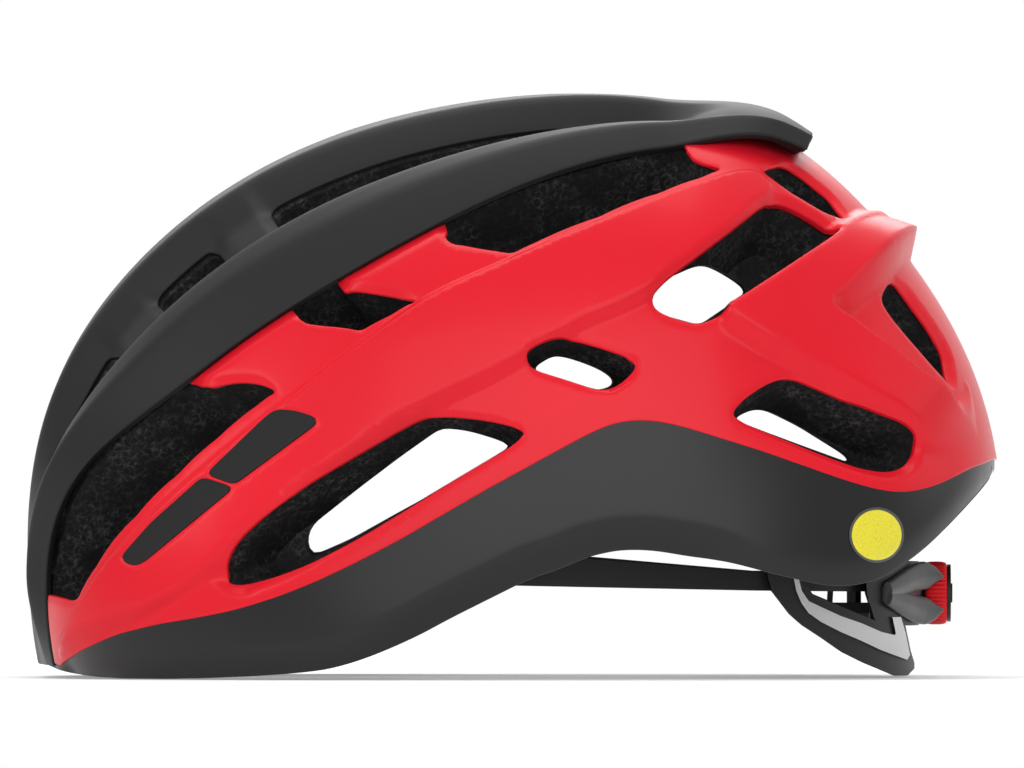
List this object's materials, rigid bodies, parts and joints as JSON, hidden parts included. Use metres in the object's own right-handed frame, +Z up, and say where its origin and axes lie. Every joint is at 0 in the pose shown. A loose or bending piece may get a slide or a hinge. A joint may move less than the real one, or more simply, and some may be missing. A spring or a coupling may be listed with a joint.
{
  "type": "cycling helmet",
  "caption": "Vented road cycling helmet: two-tone shell on a foam liner, turning slip liner with pads, tilting rear cradle and a dial that draws in the headband.",
  "frame": {"origin": "middle of the footprint, on the surface it stands on", "axes": "+X towards the rear of the helmet, +Y towards the wearer's right, +Z up"},
  "size_m": [0.2801, 0.2054, 0.1684],
  "materials": {
    "foam": "matte",
    "crown_black": "matte",
    "shell_red": "gloss",
    "rim_black": "satin",
    "inlay_black": "matte",
    "reflector": "gloss",
    "anchor_black": "matte",
    "slip_grey": "satin",
    "pad_fabric": "matte",
    "trim_black": "satin",
    "pale_inlay": "gloss",
    "claw_grey": "satin",
    "knob_red": "matte",
    "pinion_grey": "satin",
    "band_black": "satin"
  },
  "bodies": {
    "helmet": {"foam_liner": "foam", "crown_shell": "crown_black", "side_shell_left": "shell_red", "side_shell_right": "shell_red", "rim_shell": "rim_black", "inlay_panels_left": "inlay_black", "inlay_panels_right": "inlay_black", "reflector_disc": "reflector", "strap_anchor_front_left": "anchor_black", "strap_anchor_front_right": "anchor_black", "strap_anchor_rear_left": "anchor_black", "strap_anchor_rear_right": "anchor_black", "crown_stud": "slip_grey", "stud_cap": "trim_black"},
    "slip": {"slip_liner": "slip_grey", "stud_bush": "trim_black", "brow_pad": "pad_fabric", "crown_pad_left": "pad_fabric", "crown_pad_right": "pad_fabric", "side_pad_left": "pad_fabric", "side_pad_right": "pad_fabric", "temple_pin_left": "trim_black", "temple_pin_right": "trim_black", "height_track": "trim_black"},
    "cradle": {"cradle_yoke": "trim_black", "wing_inlay_left": "pale_inlay", "wing_inlay_right": "pale_inlay", "height_strip": "trim_black", "dial_base": "trim_black", "dial_claw": "claw_grey"},
    "dial": {"dial_pinion": "pinion_grey", "dial_knob": "knob_red", "dial_cap": "trim_black"},
    "left_band": {"band_left": "band_black"},
    "right_band": {"band_right": "band_black"}
  },
  "joints": [
    {"name": "slip_turn", "type": "hinge", "parent": "helmet", "child": "slip", "pos_m": [-0.006, 0, 0.135], "axis": [0, 0, 1], "range_deg": [-2.5, 2.5], "stiffness_Nm_per_rad": 1},
    {"name": "cradle_tilt", "type": "hinge", "parent": "slip", "child": "cradle", "pos_m": [-0.05, 0, 0.0306], "axis": [0, 1, 0], "range_deg": [0, 7]},
    {"name": "dial_turn", "type": "hinge", "parent": "cradle", "child": "dial", "pos_m": [0.12, 0, 0.0238], "axis": [-1, 0, 0], "range_deg": [0, 150]},
    {"name": "left_band_slide", "type": "slide", "parent": "cradle", "child": "left_band", "axis": [0, 1, 0], "range_m": [0, 0.008]},
    {"name": "right_band_slide", "type": "slide", "parent": "cradle", "child": "right_band", "axis": [0, -1, 0], "range_m": [0, 0.0105]}
  ],
  "couplings": [
    {"joint": "dial_turn", "follows": "left_band_slide", "rad_per_m": 250},
    {"joint": "right_band_slide", "follows": "left_band_slide", "ratio": 1}
  ]
}
